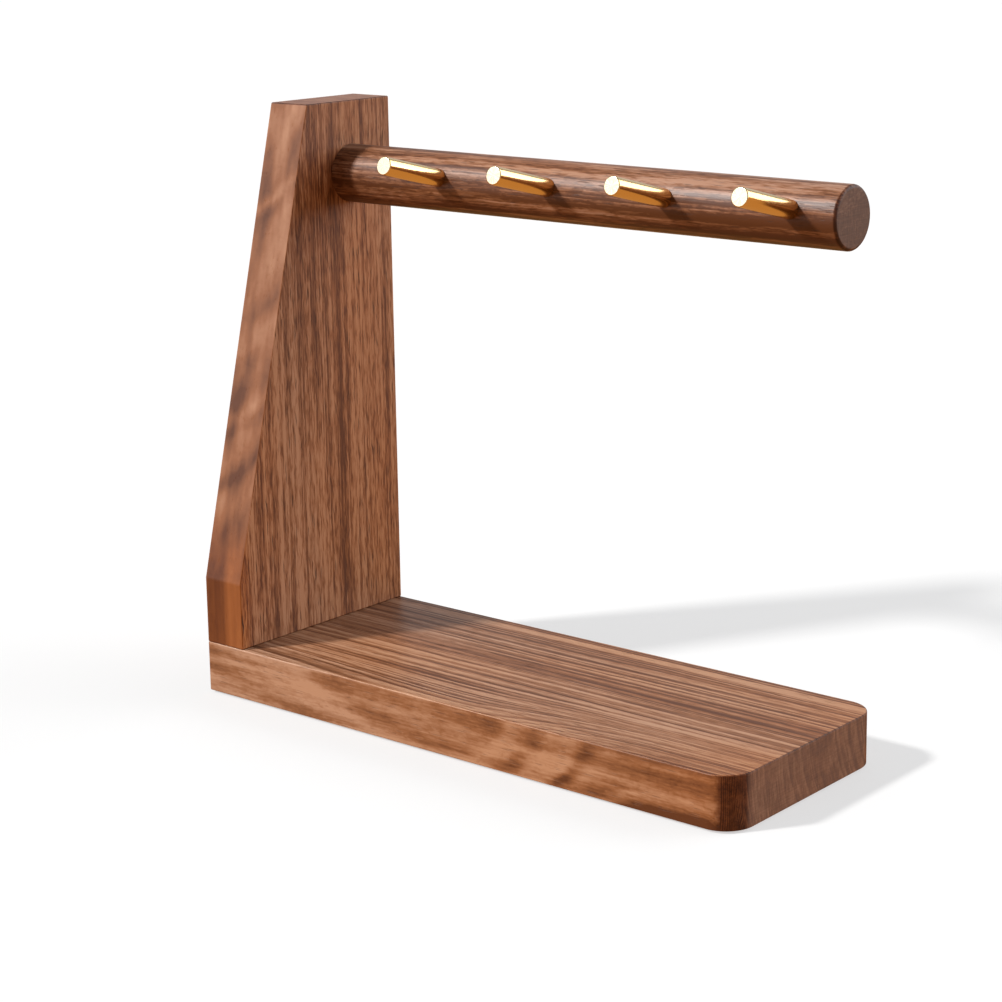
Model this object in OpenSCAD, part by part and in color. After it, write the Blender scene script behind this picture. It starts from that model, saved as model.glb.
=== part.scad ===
// Headphone stand: a flat walnut base, a leaning-edge upright that stands on its
// rear end, and a round walnut rod with four brass pegs that reaches forwards
// over the base. Millimetres, +Z up. The origin is at table level under the
// middle of the base, +X runs towards the rod's free end and -Y is the near side.

/* [Overall] */
// Height of the stand above the table
stand_h = 200; // [180:1:240]

/* [Base] */
// Length of the base, and of the whole stand
base_l = 220; // [215:1:260]
// Width of the base
base_w = 80; // [74:1:100]
// Thickness of the base board
base_t = 17.5; // [16:0.5:22]
// Radius of the two front corners
base_corner_r = 10; // [4:0.5:18]

/* [Upright] */
// Thickness of the upright board
upright_t = 17; // [16:0.5:20]
// Width of the upright at its top
upright_top_w = 40.5; // [38:0.5:60]
// Height above the table where the near edge begins to lean
taper_start_h = 41; // [38:1:60]

/* [Rod] */
// Diameter of the hanging rod
rod_d = 20; // [18:0.5:24]
// From the top of the upright down to the rod's axis
rod_drop = 25; // [16:0.5:35]
// From the far edge of the upright to the rod's axis
rod_inset = 19.5; // [14:0.5:22]
// Width of the chamfer round the rod's free end
rod_chamfer = 1.2; // [0.4:0.1:2]

/* [Pegs] */
// Diameter of a brass peg
peg_d = 6; // [4:0.5:7]
// How far a peg stands out of the rod
peg_reach = 27; // [15:1:40]
// Distance between neighbouring pegs
peg_pitch = 46.2; // [30:0.1:48]
// From the rod's free end to the last peg's axis
peg_end_gap = 16; // [12:1:20]
// Angle of the pegs above level
peg_tilt = 14; // [0:1:45]

/* [Fixings] */
// Thread diameter of the screws in the base
screw_d = 5; // [4:1:5]
// Length of a base screw under its head
screw_l = 25; // [22:1:28]
// Distance between the two base screws
screw_spacing = 26; // [20:1:30]
// Thread diameter of the rod's stud
stud_d = 6; // [5:1:6]
// Diameter of a locating dowel
dowel_d = 8; // [6:1:8]
// Length of a locating dowel
dowel_l = 25; // [20:1:28]

/* [Pads] */
// Diameter of a foot pad
pad_d = 14; // [10:1:16]
// Thickness of a foot pad
pad_t = 2; // [1.5:0.1:3]
// How far a pad stands below the base
pad_proud = 0.6; // [0.4:0.1:1]

/* [Hidden] */
$fn = 96;
eps = 0.01;        // overlap that keeps a cut from ending on a face
glue_gap = 0.05;   // radial room round a part that is glued or screwed into wood
thread_gap = 0.05; // radial room between a male thread and its insert

// Heights above the table
base_bottom = pad_proud;
base_top = base_bottom + base_t;
rod_z = stand_h - rod_drop;

// Places along the stand
rear_x = -base_l / 2;
front_x = base_l / 2;
upright_front_x = rear_x + upright_t;
joint_x = rear_x + upright_t / 2;

// Places across the stand
near_y = -base_w / 2;
far_y = base_w / 2;
rod_y = far_y - rod_inset;
slant_top_y = far_y - upright_top_w;

// Pegs, numbered from the upright outwards. A shank thinner than the polished part
// is buried in the rod and stops a little past the rod's axis.
peg_count = 4;
peg_shoulder = 0.25; // how much wider the polished part is all round
peg_shank_d = peg_d - 2 * peg_shoulder;
peg_bury = 4;
peg_bevel = 0.35;
peg_hole_spare = 1;
function peg_x(i) = front_x - peg_end_gap - (peg_count - i) * peg_pitch;

// Base screws: socket head of the usual proportions, flat washer, and an insert in
// the foot of the upright
screw_head_d = 1.7 * screw_d;
screw_head_h = screw_d;
screw_hex = 0.8 * screw_d;
screw_hex_deep = 0.5 * screw_d;
screw_head_chamfer = 0.5;
screw_pitch = 0.8;
screw_thread_depth = 0.5;
screw_tip_room = 2.5;  // free depth past the screw's end
washer_d = 2 * screw_d;
washer_t = 1;
washer_play = 0.3;
washer_chamfer = 0.15;
counterbore_room = 2;  // between the washer's diameter and the counterbore's
head_sink = 1.5;       // how far the screw head sits above the underside
counterbore_d = washer_d + counterbore_room;
counterbore_h = screw_head_h + washer_t + head_sink;
seat_z = base_bottom + counterbore_h;
head_top_z = seat_z - washer_t;
clearance_play = 0.5;
clearance_d = screw_d + clearance_play;
insert_l = 13;
insert_wall = 2;   // from the thread to the crest of the outer rib
insert_rib = 0.7;  // height of the outer rib
insert_pitch = 2.5;
insert_sink = 0.5; // how far an insert sits below the wood's face
insert_hex_room = 1; // between the thread's diameter and the driving socket
insert_hex_deep = 3;
screw_tip_z = head_top_z + screw_l;
foot_hole_deep = max(insert_l + insert_sink, screw_tip_z - base_top) + screw_tip_room;

// Rod stud: machine thread in the upright, plain neck, wood thread in the rod
stud_pitch = 1;
stud_thread_depth = 0.6;
stud_machine_l = 12;
stud_neck_l = 4;
stud_wood_l = 26;
stud_wood_pitch = 2.6;
stud_wood_depth = 0.9;
stud_tip_l = 4;
stud_tip_d = 1;
stud_hole_spare = 1;

// Dowels
dowel_edge = 9;    // from the board's edge to the dowel's axis
dowel_spacing = base_w - 2 * dowel_edge;
dowel_in_base = 10;
dowel_end_room = 0.5;
dowel_chamfer = 1;
flute_count = 12;
flute_r = 0.5;

// Pads
pad_inset_x = 20;
pad_inset_y = 13;
pad_room = 0.2;
pad_bevel = 0.3;

walnut_base = [0.55, 0.36, 0.25];
walnut_upright = [0.50, 0.33, 0.25];
walnut_rod = [0.42, 0.27, 0.21];
brass = [0.83, 0.64, 0.30];
steel = [0.66, 0.67, 0.69];
beech = [0.85, 0.70, 0.50];
black_rubber = [0.09, 0.09, 0.09];

// ---- Placement ----

// side is -1 for the near side and 1 for the far side
module at_screw(side) {
    translate([joint_x, side * screw_spacing / 2, 0]) children();
}

module at_dowel(side) {
    translate([joint_x, side * dowel_spacing / 2, base_top - dowel_in_base]) children();
}

// end is -1 at the rear and 1 at the front
module at_pad(end, side) {
    translate([end * (base_l / 2 - pad_inset_x), side * (base_w / 2 - pad_inset_y), 0]) children();
}

// Turns +Z to the rod's direction, with the origin on the upright's front face
module along_rod() {
    translate([upright_front_x, rod_y, rod_z]) rotate([0, 90, 0]) children();
}

// Turns +Z to peg i's direction, with the origin on the rod's axis
module along_peg(i) {
    translate([peg_x(i), rod_y, rod_z]) rotate([90 - peg_tilt, 0, 0]) children();
}

// ---- Shared shapes ----

// A cylinder standing on z = 0 with a chamfer at each end
module chamfered_cylinder(d, h, bottom, top) {
    foot = bottom > 0 ? [[d / 2 - bottom, 0], [d / 2, bottom]] : [[d / 2, 0]];
    head = top > 0 ? [[d / 2, h - top], [d / 2 - top, h]] : [[d / 2, h]];
    rotate_extrude() polygon(concat([[0, 0]], foot, head, [[0, h]]));
}

// Points of a saw-tooth edge: roots at inner, crests at outer, one tooth per pitch
function teeth(outer, inner, length, pitch) =
    let (count = floor(length / pitch), step = length / count)
    [for (k = [0 : count - 1]) each [[inner, k * step], [outer, (k + 0.5) * step]]];

// A ridged shaft standing on z = 0, as a screw thread is seen from the side
module threaded_shaft(d, depth, length, pitch) {
    rotate_extrude()
        polygon(concat(
            [[0, 0]],
            teeth(d / 2, d / 2 - depth, length, pitch),
            [[d / 2 - depth, length], [0, length]]
        ));
}

module hexagon_pocket(across, deep) {
    cylinder(r = across / sqrt(3), h = deep, $fn = 6);
}

// A brass insert that starts at z = 0, where its driving socket opens downwards
module threaded_insert(thread_d) {
    outer_r = thread_d / 2 + insert_wall;
    difference() {
        rotate_extrude()
            polygon(concat(
                [[0, 0]],
                teeth(outer_r, outer_r - insert_rib, insert_l, insert_pitch),
                [[outer_r - insert_rib, insert_l], [0, insert_l]]
            ));
        translate([0, 0, -eps])
            cylinder(d = thread_d + 2 * thread_gap, h = insert_l + 2 * eps);
        translate([0, 0, -eps]) hexagon_pocket(thread_d + insert_hex_room, insert_hex_deep);
    }
}

// The pilot hole that an insert is screwed into, opening downwards at z = 0
module insert_hole(thread_d, deep) {
    translate([0, 0, -eps])
        cylinder(d = thread_d + 2 * insert_wall + 2 * glue_gap, h = deep + eps);
}

// ---- Wooden parts ----

// Rectangle with two rounded corners at its front end
module base_outline() {
    translate([rear_x, near_y]) square([base_l - base_corner_r, base_w]);
    translate([rear_x, near_y + base_corner_r])
        square([base_l, base_w - 2 * base_corner_r]);
    for (side = [-1, 1])
        translate([front_x - base_corner_r, side * (base_w / 2 - base_corner_r)])
            circle(r = base_corner_r);
}

module base_board() {
    color(walnut_base)
    difference() {
        translate([0, 0, base_bottom]) linear_extrude(base_t) base_outline();
        for (side = [-1, 1]) {
            at_screw(side) {
                translate([0, 0, base_bottom - eps])
                    cylinder(d = counterbore_d, h = counterbore_h + eps);
                cylinder(d = clearance_d, h = base_top + eps);
            }
            at_dowel(side)
                translate([0, 0, -dowel_end_room])
                    cylinder(d = dowel_d + 2 * glue_gap, h = dowel_in_base + dowel_end_room + eps);
            for (end = [-1, 1])
                at_pad(end, side)
                    cylinder(d = pad_d + 2 * pad_room, h = pad_t);
        }
    }
}

// The upright seen from the front: square foot, near edge leaning in above it
module upright_outline() {
    polygon([
        [near_y, base_top],
        [far_y, base_top],
        [far_y, stand_h],
        [slant_top_y, stand_h],
        [near_y, taper_start_h]
    ]);
}

module upright_board() {
    color(walnut_upright)
    difference() {
        translate([rear_x, 0, 0])
            rotate([90, 0, 90]) linear_extrude(upright_t) upright_outline();
        for (side = [-1, 1]) {
            at_screw(side)
                translate([0, 0, base_top]) insert_hole(screw_d, foot_hole_deep);
            at_dowel(side)
                cylinder(d = dowel_d + 2 * glue_gap, h = dowel_l + dowel_end_room);
        }
        along_rod() mirror([0, 0, 1]) insert_hole(stud_d, insert_l + insert_sink);
    }
}

module hanging_rod() {
    rod_l = front_x - upright_front_x;
    color(walnut_rod)
    difference() {
        along_rod() chamfered_cylinder(rod_d, rod_l, 0, rod_chamfer);
        along_rod()
            translate([0, 0, -eps])
                cylinder(d = stud_d + 2 * glue_gap, h = stud_neck_l + stud_wood_l + stud_hole_spare);
        for (i = [1 : peg_count])
            along_peg(i)
                translate([0, 0, -peg_bury - peg_hole_spare])
                    cylinder(d = peg_shank_d + 2 * glue_gap, h = rod_d);
    }
}

// Fluted dowel standing on z = 0
module dowel(side) {
    color(beech)
    at_dowel(side)
        difference() {
            chamfered_cylinder(dowel_d, dowel_l, dowel_chamfer, dowel_chamfer);
            for (k = [0 : flute_count - 1])
                rotate([0, 0, k * 360 / flute_count])
                    translate([dowel_d / 2 + flute_r / 2, 0, -eps])
                        cylinder(r = flute_r, h = dowel_l + 2 * eps, $fn = 24);
        }
}

// ---- Metal parts ----

module peg(i) {
    color(brass)
    along_peg(i) {
        translate([0, 0, -peg_bury])
            chamfered_cylinder(peg_shank_d, peg_bury + rod_d / 2 + eps, peg_bevel, 0);
        translate([0, 0, rod_d / 2]) chamfered_cylinder(peg_d, peg_reach, 0, peg_bevel);
    }
}

module rod_stud() {
    color(steel)
    along_rod() {
        translate([0, 0, -stud_machine_l])
            threaded_shaft(stud_d, stud_thread_depth, stud_machine_l, stud_pitch);
        translate([0, 0, -eps]) cylinder(d = stud_d, h = stud_neck_l + eps);
        translate([0, 0, stud_neck_l - eps])
            threaded_shaft(stud_d, stud_wood_depth, stud_wood_l - stud_tip_l, stud_wood_pitch);
        translate([0, 0, stud_neck_l + stud_wood_l - stud_tip_l - 2 * eps])
            cylinder(d1 = stud_d - 2 * stud_wood_depth, d2 = stud_tip_d, h = stud_tip_l);
    }
}

module rod_insert() {
    color(brass)
    along_rod()
        translate([0, 0, -insert_sink]) mirror([0, 0, 1]) threaded_insert(stud_d);
}

module base_screw(side) {
    color(steel)
    at_screw(side)
        difference() {
            union() {
                translate([0, 0, head_top_z - screw_head_h])
                    chamfered_cylinder(screw_head_d, screw_head_h, screw_head_chamfer, 0);
                translate([0, 0, head_top_z - eps])
                    threaded_shaft(screw_d, screw_thread_depth, screw_l + eps, screw_pitch);
            }
            translate([0, 0, head_top_z - screw_head_h - eps])
                hexagon_pocket(screw_hex, screw_hex_deep);
        }
}

module screw_washer(side) {
    color(steel)
    at_screw(side)
        translate([0, 0, head_top_z])
            difference() {
                chamfered_cylinder(washer_d, washer_t, washer_chamfer, washer_chamfer);
                translate([0, 0, -eps]) cylinder(d = screw_d + washer_play, h = washer_t + 2 * eps);
            }
}

module foot_insert(side) {
    color(brass)
    at_screw(side)
        translate([0, 0, base_top + insert_sink]) threaded_insert(screw_d);
}

// ---- Rubber pads ----

module pad(end, side) {
    color(black_rubber)
    at_pad(end, side) chamfered_cylinder(pad_d, pad_t, pad_bevel, 0);
}

base_board();
upright_board();
hanging_rod();
peg(1);  // peg_1
peg(2);  // peg_2
peg(3);  // peg_3
peg(4);  // peg_4
rod_stud();
rod_insert();
base_screw(-1);  // base_screw_near
base_screw(1);  // base_screw_far
screw_washer(-1);  // screw_washer_near
screw_washer(1);  // screw_washer_far
foot_insert(-1);  // foot_insert_near
foot_insert(1);  // foot_insert_far
dowel(-1);  // dowel_near
dowel(1);  // dowel_far
pad(-1, -1);  // pad_rear_near
pad(-1, 1);  // pad_rear_far
pad(1, -1);  // pad_front_near
pad(1, 1);  // pad_front_far
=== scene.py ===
"""Looks of the headphone stand: walnut boards and rod, brass pegs, and the fixings inside.

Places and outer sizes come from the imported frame, and the detail sizes that it doesn't
hold are named below. Lengths are metres, except in the shaders, which use millimetres.
"""
import math
from dataclasses import dataclass

import bmesh
import bpy
from mathutils import Matrix, Vector

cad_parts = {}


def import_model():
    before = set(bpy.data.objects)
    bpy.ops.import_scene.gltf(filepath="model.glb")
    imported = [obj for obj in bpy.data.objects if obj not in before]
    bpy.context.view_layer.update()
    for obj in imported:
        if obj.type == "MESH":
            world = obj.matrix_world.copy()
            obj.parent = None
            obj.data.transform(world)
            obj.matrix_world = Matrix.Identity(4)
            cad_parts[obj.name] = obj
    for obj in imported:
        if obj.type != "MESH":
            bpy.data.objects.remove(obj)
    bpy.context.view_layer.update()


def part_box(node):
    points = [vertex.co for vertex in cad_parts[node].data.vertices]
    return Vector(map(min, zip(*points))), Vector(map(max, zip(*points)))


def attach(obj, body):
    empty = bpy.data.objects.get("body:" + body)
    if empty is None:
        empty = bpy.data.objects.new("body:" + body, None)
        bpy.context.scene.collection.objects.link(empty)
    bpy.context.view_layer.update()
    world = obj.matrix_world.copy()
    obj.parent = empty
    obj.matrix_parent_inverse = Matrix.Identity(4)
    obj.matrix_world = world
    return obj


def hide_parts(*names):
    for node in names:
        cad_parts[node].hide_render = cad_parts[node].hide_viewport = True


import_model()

MM = 0.001

# ---- Detail sizes that the frame doesn't hold ----

ARRIS = 0.45 * MM              # rounding of the boards' edges
CORNER_RADIUS = 10 * MM        # of the base's two front corners
TAPER_START = 41 * MM          # height where the upright's near edge begins to lean
UPRIGHT_TOP = 40.5 * MM        # depth of the upright's top
ROD_CHAMFER = 1.2 * MM
PEG_COUNT = 4
PEG_RADIUS = 3.0 * MM
PEG_SHANK = 2.75 * MM          # radius inside the rod
PEG_TIP = 37 * MM              # from the rod's axis
PEG_DEPTH = 4 * MM             # shank past the rod's axis
PEG_BEVEL = 0.35 * MM
PEG_TILT = math.radians(14)
PEG_AXIS = Vector((0.0, -math.cos(PEG_TILT), math.sin(PEG_TILT)))

# Radii of the holes for the fixings, and how far cutters pass the face they open.
COUNTERBORE = 6.0 * MM
SCREW_CLEARANCE = 2.75 * MM
DOWEL_BORE = 4.05 * MM
PAD_RECESS = 7.2 * MM
FOOT_INSERT_BORE = 4.55 * MM
ROD_INSERT_BORE = 5.05 * MM
STUD_BORE = 3.05 * MM
PEG_BORE = 2.8 * MM
OVERCUT = 1.0 * MM
END_ROOM = 0.5 * MM            # past a dowel's end
SCREW_TIP_ROOM = 3.0 * MM      # past a foot insert
PEG_BORE_ENDS = (-5 * MM, 15 * MM)

SEGMENTS = 96                  # round a washer, dowel or pad
ROD_SEGMENTS = 128
BORE_SEGMENTS = 64             # also round a peg
STUD_BORE_SEGMENTS = 48
THREAD_SEGMENTS = 72


# ---- Meshes ----

def new_object(name, bm):
    """Links a mesh object made from bm, with its normals pointing outwards."""
    bmesh.ops.recalc_face_normals(bm, faces=bm.faces)
    mesh = bpy.data.meshes.new(name)
    bm.to_mesh(mesh)
    bm.free()
    obj = bpy.data.objects.new(name, mesh)
    bpy.context.scene.collection.objects.link(obj)
    return obj


def smooth(obj, angle=32.0):
    """Smooth shading that stays crisp over edges sharper than angle, in degrees."""
    obj.data.shade_smooth()
    obj.data.set_sharp_from_angle(angle=math.radians(angle))
    weighted = obj.modifiers.new("weighted_normals", "WEIGHTED_NORMAL")
    weighted.keep_sharp = True
    return obj


def round_radius(r):
    """A radius that is the same all round."""
    return lambda angle: r


def lathe(name, rows, closed=False, segments=SEGMENTS):
    """A turned solid about +Z. rows holds (z, radius), where a radius may be a function
    of the angle. The ends are capped, or joined when the profile is closed."""
    bm = bmesh.new()
    rings = []
    for z, radius in rows:
        radius = radius if callable(radius) else round_radius(radius)
        ring = []
        for k in range(segments):
            angle = 2 * math.pi * k / segments
            r = radius(angle)
            ring.append(bm.verts.new((r * math.cos(angle), r * math.sin(angle), z)))
        rings.append(ring)
    pairs = list(zip(rings, rings[1:]))
    if closed:
        pairs.append((rings[-1], rings[0]))
    for low, high in pairs:
        for k in range(segments):
            n = (k + 1) % segments
            bm.faces.new((low[k], low[n], high[n], high[k]))
    if not closed:
        bm.faces.new(rings[0])
        bm.faces.new(rings[-1])
    return new_object(name, bm)


def place(obj, matrix):
    """Moves the mesh itself, so that the object stays at the origin of the frame."""
    obj.data.transform(matrix)
    return obj


def rounded(z0, r0, z1, r1, centre, steps=4):
    """Rows of an arc from (z0, r0) to (z1, r1) about centre (z, r)."""
    cz, cr = centre
    a0 = math.atan2(r0 - cr, z0 - cz)
    a1 = math.atan2(r1 - cr, z1 - cz)
    radius = math.hypot(r0 - cr, z0 - cz)
    rows = []
    for k in range(steps + 1):
        a = a0 + (a1 - a0) * k / steps
        rows.append((cz + radius * math.cos(a), cr + radius * math.sin(a)))
    return rows


EASED_ANGLE = math.radians(11)    # edges sharper than this are eased


def extruded(name, outline, axis_matrix, depth, ease):
    """An outline drawn in XY, extruded along +Z by depth, with its sharp edges eased."""
    bm = bmesh.new()
    low = [bm.verts.new((x, y, 0)) for x, y in outline]
    high = [bm.verts.new((x, y, depth)) for x, y in outline]
    bm.faces.new(low)
    bm.faces.new(high)
    for k in range(len(outline)):
        n = (k + 1) % len(outline)
        bm.faces.new((low[k], low[n], high[n], high[k]))
    bmesh.ops.recalc_face_normals(bm, faces=bm.faces)
    sharp = [e for e in bm.edges if e.calc_face_angle(0) > EASED_ANGLE]
    bmesh.ops.bevel(bm, geom=sharp, offset=ease, segments=3, profile=0.5,
                    affect="EDGES", clamp_overlap=True)
    obj = new_object(name, bm)
    return place(obj, axis_matrix)


def drill(obj, cutters):
    """Cuts the closed cutter meshes out of obj and removes them."""
    for cutter in cutters:
        cut = obj.modifiers.new("drill", "BOOLEAN")
        cut.operation = "DIFFERENCE"
        cut.solver = "EXACT"
        cut.object = cutter
    bpy.context.view_layer.update()
    depsgraph = bpy.context.evaluated_depsgraph_get()
    mesh = bpy.data.meshes.new_from_object(obj.evaluated_get(depsgraph))
    obj.modifiers.clear()
    old = obj.data
    obj.data = mesh
    mesh.name = old.name
    bpy.data.meshes.remove(old)
    for cutter in cutters:
        bpy.data.objects.remove(cutter)
    return obj


def middle(node):
    """Centre of a CAD node's box."""
    low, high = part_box(node)
    return (low + high) / 2


# ---- Shader building ----

class Graph:
    """Small helpers that add nodes to one material and return their outputs."""

    def __init__(self, name):
        self.material = bpy.data.materials.new(name)
        self.material.use_nodes = True
        self.tree = self.material.node_tree
        self.tree.nodes.clear()
        self.shader = self.tree.nodes.new("ShaderNodeBsdfPrincipled")
        output = self.tree.nodes.new("ShaderNodeOutputMaterial")
        self.tree.links.new(self.shader.outputs[0], output.inputs["Surface"])

    def put(self, socket, value):
        if isinstance(value, bpy.types.NodeSocket):
            self.tree.links.new(value, socket)
        elif value is not None:
            socket.default_value = value

    def node(self, kind, inputs=(), **settings):
        made = self.tree.nodes.new(kind)
        for key, value in settings.items():
            setattr(made, key, value)
        for key, value in dict(inputs).items():
            self.put(made.inputs[key], value)
        return made

    def math(self, operation, a, b=None, c=None, clamp=False):
        inputs = {0: a, 1: b, 2: c}
        inputs = {k: v for k, v in inputs.items() if v is not None}
        return self.node("ShaderNodeMath", inputs, operation=operation, use_clamp=clamp).outputs[0]

    def vector(self, operation, a, b=None, out=0):
        """out is 0 for a vector and 1 for a single value."""
        inputs = {0: a} if b is None else {0: a, 1: b}
        return self.node("ShaderNodeVectorMath", inputs, operation=operation).outputs[out]

    def scaled(self, a, factor):
        return self.node("ShaderNodeVectorMath", {0: a, "Scale": factor}, operation="SCALE").outputs[0]

    def combine(self, x, y, z):
        return self.node("ShaderNodeCombineXYZ", {0: x, 1: y, 2: z}).outputs[0]

    def separate(self, vector):
        return self.node("ShaderNodeSeparateXYZ", {0: vector}).outputs

    def range(self, value, low, high, to_low=0.0, to_high=1.0, curve="LINEAR"):
        inputs = {"Value": value, "From Min": low, "From Max": high,
                  "To Min": to_low, "To Max": to_high}
        return self.node("ShaderNodeMapRange", inputs, interpolation_type=curve).outputs[0]

    def noise(self, vector, scale=1.0, detail=2.0, roughness=0.5):
        inputs = {"Vector": vector, "Scale": scale, "Detail": detail, "Roughness": roughness}
        return self.node("ShaderNodeTexNoise", inputs).outputs["Fac"]

    def noise_1d(self, value, scale=1.0, detail=1.0):
        inputs = {"W": value, "Scale": scale, "Detail": detail}
        return self.node("ShaderNodeTexNoise", inputs, noise_dimensions="1D").outputs["Fac"]

    def ramp(self, value, stops):
        made = self.node("ShaderNodeValToRGB", {"Fac": value})
        ramp = made.color_ramp
        while len(ramp.elements) < len(stops):
            ramp.elements.new(0.5)
        for element, (at, colour) in zip(ramp.elements, stops):
            element.position = at
            element.color = (*colour, 1.0)
        return made.outputs["Color"]

    def mix(self, factor, a, b, blend="MIX"):
        made = self.node("ShaderNodeMix", data_type="RGBA", blend_type=blend)
        self.put(made.inputs[0], factor)
        self.put(made.inputs[6], a if isinstance(a, bpy.types.NodeSocket) else (*a, 1.0))
        self.put(made.inputs[7], b if isinstance(b, bpy.types.NodeSocket) else (*b, 1.0))
        return made.outputs[2]

    def bump(self, height, strength, distance):
        inputs = {"Height": height, "Strength": strength, "Distance": distance}
        return self.node("ShaderNodeBump", inputs).outputs[0]

    def finish(self, **inputs):
        for key, value in inputs.items():
            self.put(self.shader.inputs[key.replace("_", " ")], value)
        return self.material


def grey(value):
    return (value, value, value)


def millimetres(g, coordinates):
    """The object's own coordinates in millimetres."""
    return g.scaled(coordinates.outputs["Object"], 1 / MM)


# ---- Walnut ----

LIGHT = (0.35, 0.186, 0.112)
MIDDLE = (0.205, 0.081, 0.034)
DARK = (0.082, 0.025, 0.008)
PORE = (0.036, 0.012, 0.005)
SANDED_END = (0.128, 0.070, 0.054)
# The rest are factors on the wood's colour.
ORANGE = (1.12, 0.86, 0.49)
RED_BROWN = (1.04, 0.92, 0.78)
# Grey brown, also the painted sheen of the flat faces.
GREY_BROWN_AND_SHEEN = (1.00, 1.02, 1.08)
# Factor for the painted highlight along the arrises.
ARRIS_HIGHLIGHT = (1.45, 1.55, 1.70)
OILED_END = (0.42, 0.29, 0.22)

FLAT_FACE = (0.35, 0.9)        # |normal| in Y where a near or far face begins, and is flat
SLOPING_FACE = (0.26, 0.50)    # |normal| along the grain where a face begins to drink oil
SAWN_END = (0.955, 0.995)      # the same, where a flat end begins
SWELL_REAR = -120              # place along a board where its rings have risen
SWELL_FRONT = 80
SWELL_NEAR = (-38, -12)        # Y where that rise is full, and where it has gone


@dataclass
class Board:
    """How a board was cut from a walnut log, and how its figure shows.

    Lengths are millimetres. Depth is Z in a board whose grain runs along X, and X in one
    whose grain runs along Z. Tones run from 0 for dark to 1 for light wood, and the
    strengths of the patterns are tones. The flat faces are the near and far ones.
    """
    name: str
    grain: str                       # the axis that the fibres follow, "x" or "z"
    outward: tuple = (-1.0, 0.0)     # away from the log's centre, as (Y, depth)
    apex: float = 0.0                # where the rings stand square to that direction
    curl: float = 0.004              # how fast they bend away from there
    ring: float = 3.0                # mean width of a year ring
    seed: float = 0.0                # place along the log
    swell: tuple = None              # rise of the near rings to the (rear, front) end
    orange: tuple = (900.0, 999.0)   # from where to where it turns orange, see wood_colour
    tint: tuple = (1.0, 1.0, 1.0)    # the board's own cast
    tone: float = 0.5                # mean tone
    tone_and_painted_shade: tuple = (0.0, 1.0, 0.0, 0.0)    # two ring distances, the change of tone at each; painted shade down the upright's near edge and under the rod
    flat_share: float = 1.0          # share of that change that only the flat faces show
    warp: float = 2.5                # waviness of the rings
    slab: float = 1.0                # depth of the streaks against their usual depth
    calm: float = 0.0                # how much weaker short patterns are on the flat faces
    soft: float = 0.0                # how much the rings' edges blur there
    sparse: float = 1.0              # share of the rings that shows there
    rings: float = 0.4               # strengths of the patterns
    bands: float = 0.4
    streaks: float = 0.4
    fibres: float = 0.4
    dashes: float = 0.4
    pores: float = 0.5
    arris_highlight: float = 0.5                # how bright the painted highlight along the arrises is
    end_tone: float = 1.0            # brightness of sanded ends
    sheen: float = 0.0               # how far the oil is polished


class Wood:
    """A board's material: its coordinates, and the patterns that follow the grain."""

    def __init__(self, board):
        self.board = board
        self.g = g = Graph(board.name)
        coordinates = g.node("ShaderNodeTexCoord")
        x, y, z = g.separate(millimetres(g, coordinates))
        normal = g.separate(coordinates.outputs["Normal"])
        lying = board.grain == "x"
        self.y = y
        self.along, self.depth = (x, z) if lying else (z, x)
        # How squarely a face looks along the grain, to the near or far side, and in depth.
        self.facing = g.math("ABSOLUTE", normal[0] if lying else normal[2])
        self.facing_side = g.math("ABSOLUTE", normal[1])
        self.facing_deep = g.math("ABSOLUTE", normal[2] if lying else normal[0])
        # What is left of the short patterns, and how blurred the rings are.
        self.plain = g.range(self.facing_side, *FLAT_FACE, 1.0, 1.0 - board.calm)
        self.softness = g.range(self.facing_side, *FLAT_FACE, 0.0, board.soft)
        self.crinkled = self.swing(self.noise(3.2, 3.5, 6.6, detail=1.0), 0.45, y)
        self.streak = self.noise(60, 1.5, 1.3, 5.0, detail=3.0, roughness=0.6)
        self.fibre = self.noise(10, 0.55, 5.9, 1.6, self.crinkled, detail=2.0, roughness=0.6)
        self.dash = self.noise(5.5, 0.62, 8.3, 4.0, self.crinkled, detail=2.0, roughness=0.6)

    def swing(self, value, amount, base):
        """base plus a pattern value around one half, scaled to plus or minus amount."""
        return self.g.math("MULTIPLY_ADD", self.g.math("SUBTRACT", value, 0.5), 2 * amount, base)

    def stretched(self, length, width, offset=0.0, deep=None, side=None):
        """Coordinates for a pattern that is length long, and width by deep across.

        offset is each pattern's own, so that no two of them coincide.
        """
        g = self.g
        side = self.y if side is None else side
        thickness = self.board.slab * deep if deep else width
        return g.combine(
            g.math("MULTIPLY_ADD", self.along, 1.0 / length, self.board.seed + offset),
            g.math("MULTIPLY", side, 1.0 / width),
            g.math("MULTIPLY", self.depth, 1.0 / thickness),
        )

    def noise(self, length, width, offset=0.0, deep=None, side=None, **settings):
        return self.g.noise(self.stretched(length, width, offset, deep, side), **settings)


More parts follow.
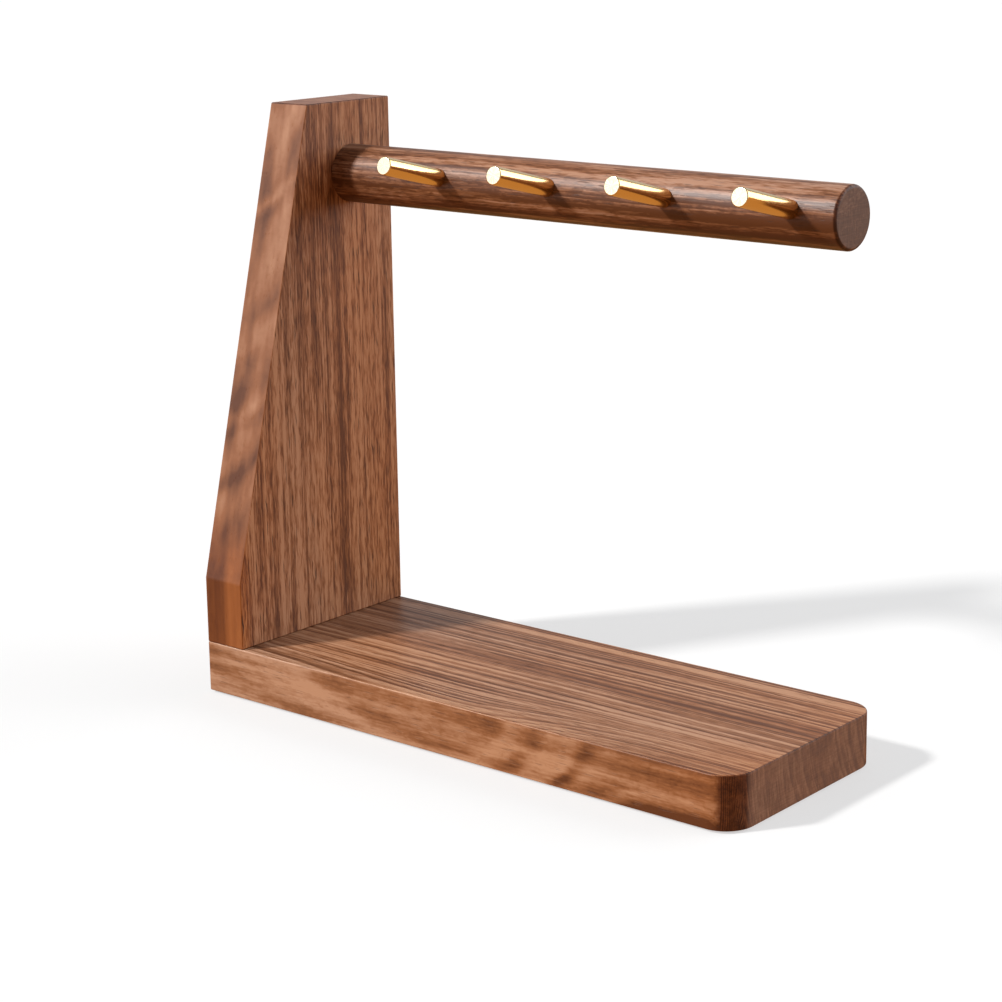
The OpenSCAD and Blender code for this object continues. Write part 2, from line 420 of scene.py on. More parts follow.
def ring_distance(wood):
    """Distance from the log's centre, with wavy shells."""
    g, board = wood.g, wood.board
    out_y, out_deep = board.outward
    distance = g.math("MULTIPLY_ADD", wood.depth, out_deep, g.math("MULTIPLY", wood.y, out_y))
    sideways = g.math("MULTIPLY_ADD", wood.depth, out_y, g.math("MULTIPLY", wood.y, -out_deep))
    sideways = g.math("SUBTRACT", sideways, board.apex)
    bend = g.math("MULTIPLY", sideways, sideways)
    distance = g.math("MULTIPLY_ADD", bend, board.curl, distance)
    distance = wood.swing(wood.noise(95, 55, detail=1.5), board.warp, distance)
    distance = wood.swing(wood.noise(14, 6, 3.1, detail=2.0), 0.25 * board.warp, distance)
    if board.swell:
        rear_rise, front_rise = board.swell
        to_rear = g.range(wood.along, 0, SWELL_REAR, 0, rear_rise, curve="SMOOTHSTEP")
        to_front = g.range(wood.along, 0, SWELL_FRONT, 0, front_rise, curve="SMOOTHSTEP")
        near = g.range(wood.y, *SWELL_NEAR, 1.0, 0.0)
        distance = g.math("MULTIPLY_ADD", g.math("ADD", to_rear, to_front), near, distance)
    return distance


def count_years(wood, distance):
    """Years at a ring distance, unevenly long and fewer on the flat faces."""
    g, board = wood.g, wood.board
    years = wood.swing(g.noise_1d(distance, 0.13, 1.0), 2.0, g.math("DIVIDE", distance, board.ring))
    return g.math("MULTIPLY", years, g.range(wood.facing_side, *FLAT_FACE, 1.0, board.sparse))


def late_wood(wood, part):
    """Dark late wood over a year, blurred on the flat faces and fading along the grain."""
    g = wood.g
    sharp = g.math("MULTIPLY", g.range(part, 0.15, 0.84, curve="SMOOTHSTEP"),
                   g.range(part, 0.84, 1.0, 1.0, 0.0, curve="SMOOTHSTEP"))
    blurred = g.math("MULTIPLY", g.range(part, 0.0, 0.55, curve="SMOOTHSTEP"),
                     g.range(part, 0.55, 1.0, 1.0, 0.0, curve="SMOOTHSTEP"))
    late = g.math("MULTIPLY_ADD", g.math("SUBTRACT", blurred, sharp), wood.softness, sharp)
    fading = g.range(wood.noise(90, 12, 9.4, detail=1.0), 0.35, 0.65, 0.35, 1.0)
    return g.math("MULTIPLY", late, fading)


def wood_tone(wood, distance, years, part):
    """Tone of the wood, from all the patterns but the pores."""
    g, board = wood.g, wood.board
    shade = g.math("MULTIPLY_ADD", late_wood(wood, part), -board.rings,
                   board.tone + 0.3 * board.rings)
    year = g.node("ShaderNodeTexWhiteNoise", {"W": g.math("FLOOR", years)},
                  noise_dimensions="1D").outputs["Value"]
    own_tone = g.math("MULTIPLY", g.math("SUBTRACT", year, 0.5),
                      g.math("SUBTRACT", 1.0, wood.softness))
    shade = g.math("MULTIPLY_ADD", own_tone, 0.5 * board.rings, shade)
    band = wood.noise(260, 6.0, 7.7, detail=2.0, roughness=0.55)
    shade = wood.swing(band, 1.3 * board.bands, shade)
    for pattern, strength in ((wood.streak, 2.6 * board.streaks), (wood.fibre, 2.0 * board.fibres)):
        calmed = g.math("MULTIPLY", g.math("SUBTRACT", pattern, 0.5), wood.plain)
        shade = g.math("MULTIPLY_ADD", calmed, strength, shade)
    dark_dash = g.math("MULTIPLY", g.range(wood.dash, 0.46, 0.68), wood.plain)
    shade = g.math("MULTIPLY_ADD", dark_dash, -board.dashes, shade)
    # Painted shade: the upright's near edge grows darker towards its foot, and the rod towards its
    # underside. On the base the same ramp darkens the near side towards the front.
    kept = g.range(wood.facing_side, 0.0, FLAT_FACE[1], 1.0 - board.flat_share, 1.0)
    shade = g.math("MULTIPLY_ADD", g.range(distance, *board.tone_and_painted_shade), kept, shade)
    return g.math("ADD", shade, 0.0, clamp=True)


def wood_colour(wood, shade):
    """Colour of a tone, with its red and grey stretches and the board's cast.

    An upright board turns orange across its depth in Y, and a lying one along its length.
    """
    g, board = wood.g, wood.board
    colour = g.ramp(shade, [(0.0, DARK), (0.5, MIDDLE), (1.0, LIGHT)])
    cloud = wood.noise(130, 26, 4.6, detail=1.0)
    # Painted sheen: the flat faces, most of all the upright's near and far faces, are greyed as by a
    # pale sheen. Elsewhere the grey comes and goes at random.
    warm = g.math("MULTIPLY", wood.plain, g.range(cloud, 0.3, 0.7))
    colour = g.mix(1.0, colour, g.mix(warm, GREY_BROWN_AND_SHEEN, RED_BROWN), "MULTIPLY")
    # On the upright, the orange over the foot of its near edge is painted warm shade.
    place = wood.y if board.grain == "z" else wood.along
    turned = g.range(place, *board.orange, curve="SMOOTHSTEP")
    return g.mix(1.0, colour, g.mix(turned, board.tint, ORANGE), "MULTIPLY")


def open_pores(wood, part):
    """Long dashes, most of which stand where a year begins."""
    g = wood.g
    cells = g.node("ShaderNodeTexVoronoi", {
        "Vector": wood.stretched(10, 0.75, 2.2, 1.0, wood.crinkled), "Scale": 1.0})
    rarity = g.range(part, 0.0, 0.7, 0.35, 0.80)
    shown = g.math("GREATER_THAN", g.separate(cells.outputs["Color"])[0], rarity)
    return g.math("MULTIPLY", g.range(cells.outputs["Distance"], 0.12, 0.32, 1.0, 0.0), shown)


def cut_across(wood, colour):
    """Darkens faces that cross the grain, which drink more oil, and saws the flat ends."""
    g, board = wood.g, wood.board
    saw = g.noise(g.combine(g.math("MULTIPLY", wood.y, 0.08),
                            g.math("MULTIPLY", wood.depth, 2.2), wood.along), detail=2.0)
    cross = g.noise(g.combine(g.math("MULTIPLY", wood.y, 1.6),
                              g.math("MULTIPLY", wood.depth, 0.1), wood.along), detail=2.0)
    marks = wood.swing(cross, 0.35, wood.swing(saw, 0.35, board.end_tone))
    oiled = g.mix(1.0, colour, OILED_END, "MULTIPLY")
    sanded = g.mix(0.72, colour, SANDED_END)
    sanded = g.mix(1.0, sanded, g.combine(marks, marks, marks), "MULTIPLY")
    colour = g.mix(g.range(wood.facing, *SLOPING_FACE, curve="SMOOTHSTEP"), colour, oiled)
    return g.mix(g.range(wood.facing, *SAWN_END, curve="SMOOTHSTEP"), colour, sanded)


def walnut(board):
    """Oiled black walnut: a solid log with year rings, cut as the board says."""
    wood = Wood(board)
    g = wood.g
    distance = ring_distance(wood)
    years = count_years(wood, distance)
    part = g.math("FRACT", years)
    colour = wood_colour(wood, wood_tone(wood, distance, years, part))
    pore = open_pores(wood, part)
    filled = g.math("MULTIPLY", pore, g.math("MULTIPLY", wood.plain, board.pores))
    colour = g.mix(filled, colour, PORE)
    # Painted highlight: the rounded arrises are lightened, most where a face turns at 45 degrees.
    arris = g.math("MULTIPLY", g.math("MULTIPLY", wood.facing_side, wood.facing_deep),
                   2.0 * board.arris_highlight)
    colour = g.mix(1.0, colour, g.mix(arris, (1, 1, 1), ARRIS_HIGHLIGHT), "MULTIPLY")
    colour = cut_across(wood, colour)
    roughness = g.range(wood.streak, 0.3, 0.7, 0.50 - board.sheen, 0.40 - board.sheen)
    roughness = g.math("MULTIPLY_ADD", pore, 0.25, roughness)
    roughness = g.math("MULTIPLY_ADD", wood.facing, 0.12, roughness, clamp=True)
    height = g.math("MULTIPLY_ADD", wood.fibre, 0.5, g.math("MULTIPLY", pore, -1.0))
    height = g.math("MULTIPLY_ADD", wood.dash, -0.5, height)
    return g.finish(
        Base_Color=colour,
        Roughness=roughness,
        IOR=1.45,
        Specular_IOR_Level=0.32 + board.sheen,
        Normal=g.bump(height, 0.40, 0.00012),
    )


WALNUT_BASE = walnut(Board(
    "walnut_base", "x", apex=-21.0, curl=0.013, ring=2.7, seed=4.0, swell=(8.0, 22.0),
    orange=(60.0, 180.0), tint=(1.06, 1.12, 1.14), tone=0.56, tone_and_painted_shade=(52.0, 76.0, 0.18, -0.44),
    warp=1.4, slab=0.5, calm=0.2, soft=0.85, sparse=0.30, rings=0.86, bands=0.55,
    streaks=0.44, fibres=0.48, dashes=0.22, sheen=0.02,
))
# The upright's near edge is painted darker and orange towards its foot: painted shade.
WALNUT_UPRIGHT = walnut(Board(
    "walnut_upright", "z", apex=122.0, curl=0.0042, ring=3.6, seed=11.0,
    orange=(-33.5, -38.5), tint=(1.05, 0.98, 0.88), tone=0.74, tone_and_painted_shade=(-6.0, 34.0, -0.04, -0.36),
    warp=1.6, calm=0.92, soft=1.0, sparse=0.7, rings=0.46, bands=0.55, streaks=0.80,
    fibres=0.70, dashes=0.60, pores=0.9, arris_highlight=0.8, end_tone=1.35,
))
# The rod is painted lighter on top and darker underneath: painted shade.
WALNUT_ROD = walnut(Board(
    "walnut_rod", "x", outward=(0.25, -0.97), apex=60.0, ring=2.8, seed=23.0,
    tint=(1.00, 1.05, 1.14), tone=0.60, tone_and_painted_shade=(-178.0, -164.0, 0.26, -0.46), flat_share=0.0,
    slab=0.3, rings=0.65, bands=0.50, streaks=1.0, fibres=0.55, dashes=0.45, pores=0.8,
    arris_highlight=0.0, end_tone=0.8, sheen=0.06,
))


# ---- Other materials ----

def beech(name):
    """Raw beech dowel: pale, with fine fibres and short dark flecks."""
    g = Graph(name)
    p = millimetres(g, g.node("ShaderNodeTexCoord"))
    x, y, z = g.separate(p)
    fibre = g.noise(g.combine(x, y, g.math("MULTIPLY", z, 0.06)), 3.0, 3.0)
    fleck = g.noise(g.combine(x, y, g.math("MULTIPLY", z, 0.4)), 2.0, 1.0)
    colour = g.ramp(fibre, [(0.3, (0.52, 0.34, 0.19)), (0.7, (0.70, 0.52, 0.33))])
    colour = g.mix(g.range(fleck, 0.62, 0.7, 0.0, 0.4), colour, (0.38, 0.22, 0.11))
    return g.finish(Base_Color=colour, Roughness=0.7, Normal=g.bump(fibre, 0.3, 0.0001))


def metal(name, colour, rough, relief, tarnish):
    """Dull metal with a fine relief, uneven polish and clouds of slight tarnish."""
    g = Graph(name)
    p = millimetres(g, g.node("ShaderNodeTexCoord"))
    cloud = g.noise(p, 0.6, 3.0)
    speck = g.noise(p, 9.0, 2.0)
    shade = g.range(cloud, 0.35, 0.7, 1.0, 1.0 - tarnish)
    tint = g.mix(1.0, colour, g.combine(shade, shade, shade), "MULTIPLY")
    roughness = g.range(speck, 0.3, 0.7, rough * 0.75, rough * 1.3)
    return g.finish(
        Base_Color=tint,
        Metallic=1.0,
        Roughness=roughness,
        Normal=g.bump(speck, relief, 0.00002),
    )


def rubber(name):
    """Matt black rubber with a fine moulded grain."""
    g = Graph(name)
    p = millimetres(g, g.node("ShaderNodeTexCoord"))
    grain = g.noise(p, 6.0, 3.0)
    dust = g.noise(p, 0.5, 2.0)
    colour = g.ramp(dust, [(0.35, grey(0.018)), (0.75, grey(0.045))])
    return g.finish(
        Base_Color=colour,
        Roughness=g.range(grain, 0.3, 0.7, 0.68, 0.88),
        Normal=g.bump(grain, 0.4, 0.00005),
    )


BRASS = (0.90, 0.64, 0.29)
CUT_BRASS = (0.78, 0.70, 0.50)


def turned_brass(name, axis, first, pitch):
    """Polished brass pegs whose flat ends keep the fine rays of the cutting tool.

    axis is the pegs' direction, first is a point on the first peg's axis and pitch the
    distance to the next one along X, in millimetres.
    """
    g = Graph(name)
    coordinates = g.node("ShaderNodeTexCoord")
    p = millimetres(g, coordinates)
    away = g.vector("SUBTRACT", p, tuple(first))
    x, _, _ = g.separate(away)
    level = g.math("DIVIDE", x, pitch)
    from_x = g.math("MULTIPLY", g.math("SUBTRACT", level, g.math("ROUND", level)), pitch)
    upward = Vector((1, 0, 0)).cross(axis)
    from_z = g.vector("DOT_PRODUCT", away, tuple(upward), out=1)
    angle = g.math("ARCTAN2", from_z, from_x)
    off_axis = g.vector("LENGTH", g.combine(from_x, from_z, 0.0), out=1)
    rays = g.noise(g.combine(g.math("MULTIPLY", angle, 7.0), g.math("MULTIPLY", off_axis, 0.4),
                             g.math("MULTIPLY", x, 0.05)), detail=3.0)
    lengthways = g.vector("DOT_PRODUCT", p, tuple(3.0 * axis), out=1)
    lines = g.noise(g.combine(g.math("MULTIPLY", angle, 0.8), lengthways, 0.0), detail=2.0)
    facing = g.vector("DOT_PRODUCT", coordinates.outputs["Normal"], tuple(axis), out=1)
    flat = g.range(facing, 0.90, 0.99)
    shade = g.range(rays, 0.35, 0.65, 0.72, 1.0)
    shade = g.math("MULTIPLY_ADD", g.math("SUBTRACT", shade, 1.0), flat, 1.0)
    colour = g.mix(flat, BRASS, CUT_BRASS)
    colour = g.mix(1.0, colour, g.combine(shade, shade, shade), "MULTIPLY")
    side = g.range(lines, 0.3, 0.7, 0.13, 0.20)
    end = g.range(rays, 0.3, 0.7, 0.20, 0.32)
    roughness = g.math("MULTIPLY_ADD", g.math("SUBTRACT", end, side), flat, side)
    return g.finish(
        Base_Color=colour,
        Metallic=1.0,
        Roughness=roughness,
        Normal=g.bump(g.math("MULTIPLY", rays, flat), 0.25, 0.00008),
    )


INSERT_BRASS = metal("insert_brass", (0.76, 0.54, 0.25), 0.34, 0.25, 0.15)
ZINC_STEEL = metal("zinc_steel", (0.60, 0.61, 0.64), 0.36, 0.25, 0.12)
BEECH = beech("dowel_beech")
RUBBER = rubber("pad_rubber")


def add_piece(obj, node, material):
    """Dresses obj as the CAD node it stands for."""
    obj.data.materials.clear()
    obj.data.materials.append(material)
    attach(obj, "root")
    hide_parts(node)
    return obj


# ---- Boards ----

base_low, base_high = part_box("base_board")
upright_low, upright_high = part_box("upright_board")
rod_low, rod_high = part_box("hanging_rod")
rod_radius = (rod_high.z - rod_low.z) / 2
rod_axis = Vector((0.0, (rod_low.y + rod_high.y) / 2, (rod_low.z + rod_high.z) / 2))


def vertical(node):
    """Matrix that puts the Z axis through the middle of a CAD node, with heights kept."""
    centre = middle(node)
    return Matrix.Translation((centre.x, centre.y, 0))


def along_x(origin):
    """Matrix that lays +Z along +X, through origin."""
    return Matrix.Translation(origin) @ Matrix.Rotation(math.radians(90), 4, "Y")


def along_peg(number):
    """Matrix that lays +Z along a peg, with its origin on the rod's axis."""
    at = Vector((middle(f"peg_{number}").x, rod_axis.y, rod_axis.z))
    return Matrix.Translation(at) @ Matrix.Rotation(math.pi / 2 - PEG_TILT, 4, "X")


def round_cutter(name, radius, z0, z1, matrix, segments=BORE_SEGMENTS):
    """A plain round cutter, whose own axis runs from z0 to z1."""
    return place(lathe(name, [(z0, radius), (z1, radius)], segments=segments), matrix)


def bore(name, node, radius, z0, z1):
    """A cutter for a vertical hole centred on a CAD node."""
    return round_cutter(name, radius, z0, z1, vertical(node))


def base_outline():
    """Counter-clockwise outline with the two front corners rounded."""
    low, high, r = base_low, base_high, CORNER_RADIUS
    points = [(low.x, high.y), (low.x, low.y)]
    steps = 14
    for centre_y, start in ((low.y + r, -90), (high.y - r, 0)):
        for k in range(steps + 1):
            a = math.radians(start + 90 * k / steps)
            points.append((high.x - r + r * math.cos(a), centre_y + r * math.sin(a)))
    return points


def build_base():
    """Rounded board with holes for the screws and dowels and recesses for the pads."""
    bottom, top = base_low.z, base_high.z
    obj = extruded("base_board_wood", base_outline(), Matrix.Translation((0, 0, bottom)),
                   top - bottom, ARRIS)
    cutters = []
    for side in ("near", "far"):
        screw = "base_screw_" + side
        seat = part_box("screw_washer_" + side)[1].z
        dowel_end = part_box("dowel_" + side)[0].z - END_ROOM
        cutters.append(bore("counterbore", screw, COUNTERBORE, bottom - OVERCUT, seat))
        cutters.append(bore("clearance", screw, SCREW_CLEARANCE, seat - OVERCUT, top + OVERCUT))
        cutters.append(bore("dowel_bore", "dowel_" + side, DOWEL_BORE,
                            dowel_end, top + OVERCUT))
        for end in ("rear", "front"):
            pad = f"pad_{end}_{side}"
            cutters.append(bore("pad_recess", pad, PAD_RECESS, bottom - OVERCUT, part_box(pad)[1].z))
    return smooth(drill(obj, cutters))


def build_upright():
    """Tapered board with blind holes for the inserts and dowels."""
    low, high = upright_low, upright_high
    outline = [
        (low.y, low.z), (high.y, low.z), (high.y, high.z),
        (high.y - UPRIGHT_TOP, high.z), (low.y, TAPER_START),
    ]
    turn = Matrix(((0, 0, 1, low.x), (1, 0, 0, 0), (0, 1, 0, 0), (0, 0, 0, 1)))
    obj = extruded("upright_board_wood", outline, turn, high.x - low.x, ARRIS)
    cutters = []
    for side in ("near", "far"):
        insert_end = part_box("foot_insert_" + side)[1].z + SCREW_TIP_ROOM
        dowel_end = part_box("dowel_" + side)[1].z + END_ROOM
        cutters.append(bore("insert_bore", "foot_insert_" + side, FOOT_INSERT_BORE,
                            low.z - OVERCUT, insert_end))
        cutters.append(bore("dowel_bore", "dowel_" + side, DOWEL_BORE,
                            low.z - OVERCUT, dowel_end))
    insert_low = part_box("rod_insert")[0].x
    cutters.append(round_cutter("rod_bore", ROD_INSERT_BORE, insert_low, high.x + OVERCUT,
                                along_x(rod_axis)))
    return smooth(drill(obj, cutters))


def build_rod():
    """Round rod with a rounded chamfer, bored for the stud and the pegs."""
    face, end, ease = rod_low.x, rod_high.x, ROD_CHAMFER
    rows = [(face, rod_radius)]
    rows += rounded(end - ease, rod_radius, end, rod_radius - ease,
                    (end - ease, rod_radius - ease), steps=5)
    obj = place(lathe("hanging_rod_wood", rows, segments=ROD_SEGMENTS), along_x(rod_axis))
    stud_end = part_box("rod_stud")[1].x
    cutters = [round_cutter("stud_bore", STUD_BORE, face - OVERCUT, stud_end + OVERCUT,
                            along_x(rod_axis), STUD_BORE_SEGMENTS)]
    for number in range(1, PEG_COUNT + 1):
        cutters.append(round_cutter("peg_bore", PEG_BORE, *PEG_BORE_ENDS, along_peg(number)))
    return smooth(drill(obj, cutters))


add_piece(build_base(), "base_board", WALNUT_BASE)
add_piece(build_upright(), "upright_board", WALNUT_UPRIGHT)
add_piece(build_rod(), "hanging_rod", WALNUT_ROD)


# ---- Pegs ----

def build_peg(number):
    """A polished pin with a thinner shank inside the rod."""
    b = PEG_BEVEL
    rows = [(-PEG_DEPTH, PEG_SHANK - b), (-PEG_DEPTH + b, PEG_SHANK)]
    rows += [(rod_radius, PEG_SHANK), (rod_radius, PEG_RADIUS)]
    rows += rounded(PEG_TIP - b, PEG_RADIUS, PEG_TIP, PEG_RADIUS - b,
                    (PEG_TIP - b, PEG_RADIUS - b))
    obj = lathe(f"peg_{number}_brass", rows, segments=BORE_SEGMENTS)
    return smooth(place(obj, along_peg(number)))


peg_root = Vector((middle("peg_1").x, rod_axis.y, rod_axis.z)) / MM
peg_pitch = (middle("peg_2").x - middle("peg_1").x) / MM
PEG_BRASS = turned_brass("peg_brass", PEG_AXIS, peg_root, peg_pitch)
for number in range(1, PEG_COUNT + 1):
    add_piece(build_peg(number), f"peg_{number}", PEG_BRASS)


# ---- Fixings ----

HEX_CORNER = math.radians(60)
SCREW_RADIUS = 2.5 * MM
SCREW_PITCH = 0.8 * MM
SCREW_THREAD = 0.5 * MM        # depth of the thread
SCREW_SHOULDER = 0.5 * MM      # plain length under the head
SCREW_TIP = 0.6 * MM           # length of the tip's chamfer
SCREW_TIP_CUT = 0.9 * MM       # and its depth
SCREW_KEY = 4 * MM             # across the flats
SCREW_KEY_DEPTH = 2.5 * MM
HEAD_CHAMFER = 0.5 * MM
HEAD_RIM = 0.2 * MM            # depth of the easing at both rims of the head
HEAD_RIM_LOW = 0.15 * MM       # its heights
HEAD_RIM_HIGH = 0.3 * MM
KNURLS = 36
KNURL_DEPTH = 0.12 * MM
WASHER_HOLE = 2.65 * MM
WASHER_EASE = 0.15 * MM
INSERT_WALL = 1.25 * MM        # from the bore to the root of the outer rib
INSERT_RIB = 0.7 * MM
INSERT_RIB_PITCH = 2.5 * MM
INSERT_THREAD = 0.3 * MM
INSERT_KEY_DEPTH = 3 * MM
INSERT_KEY_ROOM = 0.9 * MM     # of the key's flats past the bore
FOOT_INSERT_HOLE = 2.55 * MM
ROD_INSERT_HOLE = 3.05 * MM
STUD_RADIUS = 3 * MM
STUD_PITCH = 1.0 * MM
STUD_THREAD = 0.6 * MM
STUD_END = 0.4 * MM            # length of the chamfer at its threaded end
STUD_END_CUT = 1.0 * MM        # and its depth
STUD_NECK = 4 * MM
STUD_NECK_EASE = 0.6 * MM
STUD_WOOD_PITCH = 2.6 * MM
STUD_WOOD_THREAD = 0.9 * MM
STUD_POINT = 4 * MM
STUD_TIP = 0.5 * MM
DOWEL_EASE = 1.0 * MM          # of its ends, which are rounded through one more point:
DOWEL_NOSE = 0.4 * MM          # this far from the end
DOWEL_NOSE_CUT = 0.45 * MM     # and this far from the side
DOWEL_FLUTES = 12
DOWEL_FLUTE_DEPTH = 0.25 * MM
PAD_EASE = 0.3 * MM


def hexagon(across):
    """Radius of a hexagon, measured across its flats."""
    def radius(angle):
        return across / 2 / math.cos((angle + HEX_CORNER / 2) % HEX_CORNER - HEX_CORNER / 2)
    return radius


def thread(z0, z1, root, crest, pitch):
    """Rows of a screw thread that runs out at both ends."""
    rows = []
    steps = round(4 * (z1 - z0) / pitch)
    for k in range(steps + 1):
        z = z0 + (z1 - z0) * k / steps
        fade = min(1.0, (z - z0) / pitch, (z1 - z) / pitch)
        rows.append((z, helix(z, root, fade * (crest - root), pitch)))
    return rows


def helix(z, root, height, pitch):
    """Radius round one turn of a triangular thread at height z."""
    def radius(angle):
        turn = (z / pitch - angle / (2 * math.pi)) % 1
        return root + height * (1 - abs(2 * turn - 1))
    return radius


def knurled(r, depth, count):
    """Radius of a straight-knurled rim."""
    return lambda angle: r - depth * (0.5 - 0.5 * math.cos(count * angle))


def build_screw(side):
    """Socket-head screw, head down, with its key socket open to the underside."""
    node = "base_screw_" + side
    low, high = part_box(node)
    head_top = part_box("screw_washer_" + side)[0].z
    head_r = (high.x - low.x) / 2
    socket = hexagon(SCREW_KEY)
    rim = knurled(head_r, KNURL_DEPTH, KNURLS)
    rows = [(low.z + SCREW_KEY_DEPTH, socket), (low.z, socket), (low.z, head_r - HEAD_CHAMFER)]
    rows += [(low.z + HEAD_RIM_LOW, head_r - HEAD_RIM), (low.z + HEAD_CHAMFER, rim)]
    rows += [(head_top - HEAD_RIM_HIGH, rim), (head_top, head_r - HEAD_RIM)]
    rows.append((head_top, SCREW_RADIUS))
    rows += thread(head_top + SCREW_SHOULDER, high.z - SCREW_TIP, SCREW_RADIUS - SCREW_THREAD,
                   SCREW_RADIUS, SCREW_PITCH)
    rows.append((high.z, SCREW_RADIUS - SCREW_TIP_CUT))
    obj = lathe(node + "_steel", rows, segments=THREAD_SEGMENTS)
    return smooth(place(obj, vertical(node)))


def build_washer(side):
    """Flat washer with eased edges."""
    node = "screw_washer_" + side
    low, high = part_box(node)
    inner, outer, ease = WASHER_HOLE, (high.x - low.x) / 2, WASHER_EASE
    rows = [(low.z, inner + ease), (low.z, outer - ease), (low.z + ease, outer)]
    rows += [(high.z - ease, outer), (high.z, outer - ease), (high.z, inner + ease)]
    rows += [(high.z - ease, inner), (low.z + ease, inner)]
    return smooth(place(lathe(node + "_steel", rows, closed=True), vertical(node)))


def build_insert(name, length, hole, pitch, matrix):
    """Threaded insert with a coarse outer rib and a key socket at its own z = 0."""
    root = hole + INSERT_WALL
    socket = hexagon(2 * hole + INSERT_KEY_ROOM)
    rows = [(0, socket)]
    rows += thread(0, length, root, root + INSERT_RIB, INSERT_RIB_PITCH)
    rows += reversed(thread(INSERT_KEY_DEPTH, length, hole + INSERT_THREAD, hole, pitch))
    rows.append((INSERT_KEY_DEPTH, socket))
    obj = lathe(name, rows, closed=True, segments=THREAD_SEGMENTS)
    return smooth(place(obj, matrix))


def build_foot_insert(side):
    """Insert in the upright's foot, its key socket facing down."""
    node = "foot_insert_" + side
    low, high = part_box(node)
    matrix = vertical(node) @ Matrix.Translation((0, 0, low.z))
    return build_insert(node + "_brass", high.z - low.z, FOOT_INSERT_HOLE, SCREW_PITCH, matrix)


def build_rod_insert():
    """Insert behind the rod, its key socket facing the rod."""
    low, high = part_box("rod_insert")
    mouth = Matrix.Translation((high.x, rod_axis.y, rod_axis.z))
    matrix = mouth @ Matrix.Rotation(-math.pi / 2, 4, "Y")
    return build_insert("rod_insert_brass", high.x - low.x, ROD_INSERT_HOLE, STUD_PITCH, matrix)


def build_stud():
    """Hanger stud: fine thread for the insert, plain neck, wood thread with a point."""
    low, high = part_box("rod_stud")
    r, face = STUD_RADIUS, rod_low.x
    neck_end = face + STUD_NECK
    rows = [(low.x, r - STUD_END_CUT)]
    rows += thread(low.x + STUD_END, face, r - STUD_THREAD, r, STUD_PITCH)
    rows += [(face + STUD_NECK_EASE, r), (neck_end - STUD_NECK_EASE, r)]
    rows += thread(neck_end, high.x - STUD_POINT, r - STUD_WOOD_THREAD, r, STUD_WOOD_PITCH)
    rows.append((high.x, STUD_TIP))
    obj = lathe("rod_stud_steel", rows, segments=THREAD_SEGMENTS)
    return smooth(place(obj, along_x(rod_axis)))


def build_dowel(side):
    """Dowel with straight flutes that let the glue out."""
    node = "dowel_" + side
    low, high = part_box(node)
    r, ease = (high.x - low.x) / 2, DOWEL_EASE

    def fluted(angle):
        return r - DOWEL_FLUTE_DEPTH * max(0.0, math.cos(DOWEL_FLUTES * angle)) ** 3

    nose = r - DOWEL_NOSE_CUT
    rows = [(low.z, r - ease), (low.z + DOWEL_NOSE, nose), (low.z + ease, fluted)]
    rows += [(high.z - ease, fluted), (high.z - DOWEL_NOSE, nose), (high.z, r - ease)]
    return smooth(place(lathe(node + "_beech", rows), vertical(node)))


def build_pad(end, side):
    """Thin round pad with an eased lower rim."""
    node = f"pad_{end}_{side}"
    low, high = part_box(node)
    r, ease = (high.x - low.x) / 2, PAD_EASE
    rows = rounded(low.z, r - ease, low.z + ease, r, (low.z + ease, r - ease))
    rows.append((high.z, r))
    return smooth(place(lathe(node + "_rubber", rows), vertical(node)))


add_piece(build_rod_insert(), "rod_insert", INSERT_BRASS)
add_piece(build_stud(), "rod_stud", ZINC_STEEL)
for side in ("near", "far"):
    add_piece(build_screw(side), "base_screw_" + side, ZINC_STEEL)
    add_piece(build_washer(side), "screw_washer_" + side, ZINC_STEEL)
    add_piece(build_foot_insert(side), "foot_insert_" + side, INSERT_BRASS)
    add_piece(build_dowel(side), "dowel_" + side, BEECH)
    for end in ("rear", "front"):
        add_piece(build_pad(end, side), f"pad_{end}_{side}", RUBBER)


# ---- Studio ----

FLOOR_REACH = 60.0             # far enough to fill the view to the horizon
FLOOR_DROP = 0.1 * MM          # so that the pads' faces don't coincide with it
FLOOR_WHITE = 0.32
FLOOR_GLOW = 0.56
SKY = (0.24, 0.245, 0.26)
TABLE = (0.55, 0.27, 0.09)
HORIZON_BLUR = 0.08


def floor():
    """A pale table that glows a little, so that shadows on it stay faint."""
    bm = bmesh.new()
    bmesh.ops.create_grid(bm, x_segments=1, y_segments=1, size=FLOOR_REACH)
    obj = new_object("floor", bm)
    g = Graph("floor_white")
    obj.data.materials.append(g.finish(
        Base_Color=(*grey(FLOOR_WHITE), 1.0), Roughness=0.9, Specular_IOR_Level=0.0,
        Emission_Color=(*grey(1.0), 1.0), Emission_Strength=FLOOR_GLOW,
    ))
    obj.location.z = -FLOOR_DROP
    obj.visible_diffuse = False
    obj.visible_glossy = False


def sun(name, source, spread, strength, colour=(1, 1, 1)):
    """A distant soft light. source points from the stand to the light, spread is the
    light's apparent width in degrees."""
    data = bpy.data.lights.new(name, "SUN")
    data.energy = strength
    data.angle = math.radians(spread)
    data.color = colour
    light = bpy.data.objects.new(name, data)
    light.location = Vector(source)
    light.rotation_mode = "QUATERNION"
    light.rotation_quaternion = Vector(source).to_track_quat("Z", "Y")
    bpy.context.scene.collection.objects.link(light)


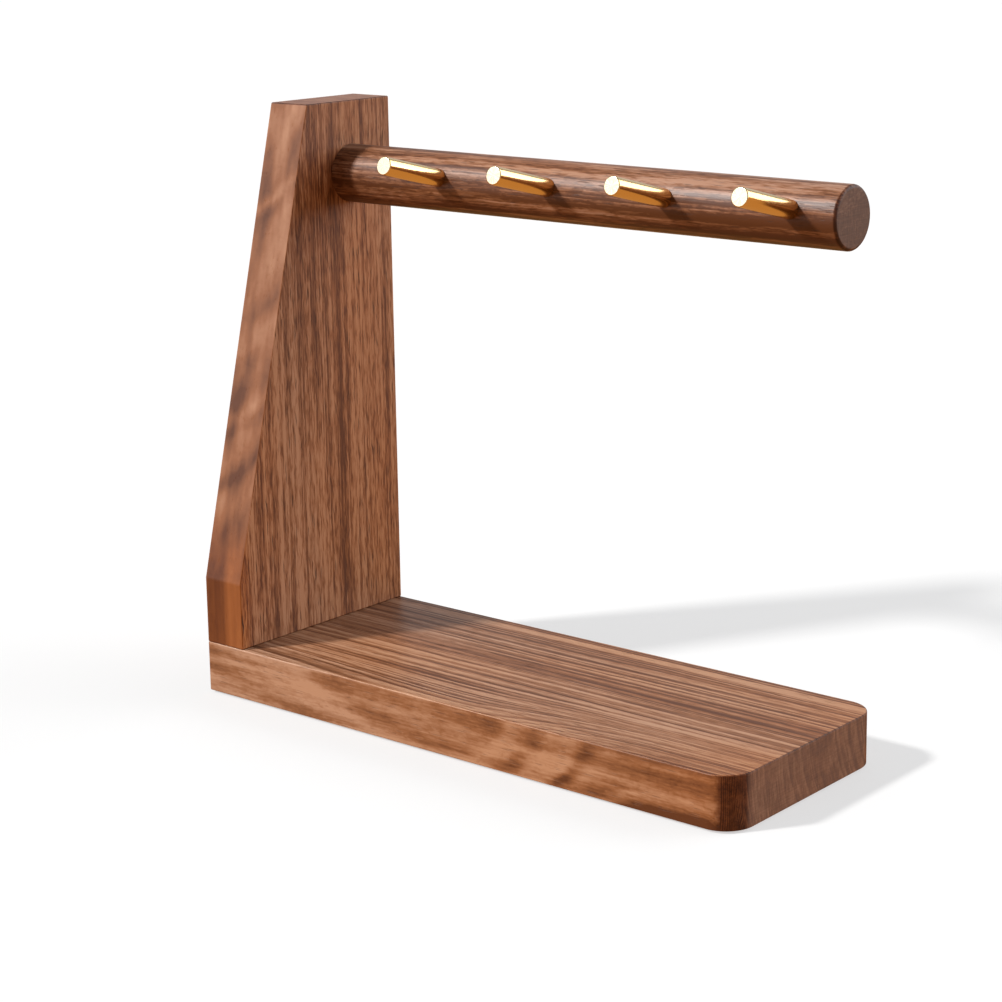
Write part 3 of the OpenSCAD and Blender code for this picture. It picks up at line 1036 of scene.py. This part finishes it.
def world(sky, ground):
    """Even light from above, and warmer light from below as off a wooden floor."""
    made = bpy.data.worlds.new("studio")
    made.use_nodes = True
    tree = made.node_tree
    direction = tree.nodes.new("ShaderNodeTexCoord").outputs["Generated"]
    parts = tree.nodes.new("ShaderNodeSeparateXYZ")
    tree.links.new(direction, parts.inputs[0])
    ramp = tree.nodes.new("ShaderNodeValToRGB")
    tree.links.new(parts.outputs["Z"], ramp.inputs["Fac"])
    below, above = ramp.color_ramp.elements
    below.position, above.position = 0.0, HORIZON_BLUR
    below.color, above.color = (*ground, 1.0), (*sky, 1.0)
    tree.links.new(ramp.outputs["Color"], tree.nodes["Background"].inputs["Color"])
    bpy.context.scene.world = made


CAMERA_AT = (0.49056, -0.58938, 0.27421)
CAMERA_YAW = math.radians(38.88)      # turned left from looking along +Y
CAMERA_PITCH = math.radians(12.57)    # looking down
CAMERA_ROLL = math.radians(-0.634)
CAMERA_LENS = 87.68
CAMERA_SENSOR = 36.0
CAMERA_SHIFT = (-0.0606, -0.0808)


def camera():
    """The photographer's camera."""
    data = bpy.data.cameras.new("camera")
    data.lens = CAMERA_LENS
    data.sensor_width = CAMERA_SENSOR
    data.shift_x, data.shift_y = CAMERA_SHIFT
    data.clip_start = 0.05
    data.clip_end = 50.0
    obj = bpy.data.objects.new("camera", data)
    cos_p, sin_p = math.cos(CAMERA_PITCH), math.sin(CAMERA_PITCH)
    forward = Vector((-math.sin(CAMERA_YAW) * cos_p, math.cos(CAMERA_YAW) * cos_p, -sin_p))
    right = Vector((math.cos(CAMERA_YAW), math.sin(CAMERA_YAW), 0))
    up = right.cross(forward)
    c, s = math.cos(CAMERA_ROLL), math.sin(CAMERA_ROLL)
    right, up = c * right + s * up, c * up - s * right
    axes = Matrix((right, up, -forward)).transposed().to_4x4()
    obj.matrix_world = Matrix.Translation(CAMERA_AT) @ axes
    bpy.context.scene.collection.objects.link(obj)
    bpy.context.scene.camera = obj


floor()
world(SKY, TABLE)
sun("key", (-0.456, -0.638, 0.620), 6, 4.1, (1.0, 0.99, 0.97))
sun("far_fill", (0.45, 0.80, 0.40), 50, 1.5)
sun("right_fill", (0.80, 0.50, 0.30), 50, 1.25)
sun("back_fill", (-0.60, 0.72, 0.34), 60, 0.25)
sun("near_fill", (-0.62, -0.74, 0.26), 50, 0.85)
camera()
bpy.context.scene.view_settings.view_transform = "Standard"
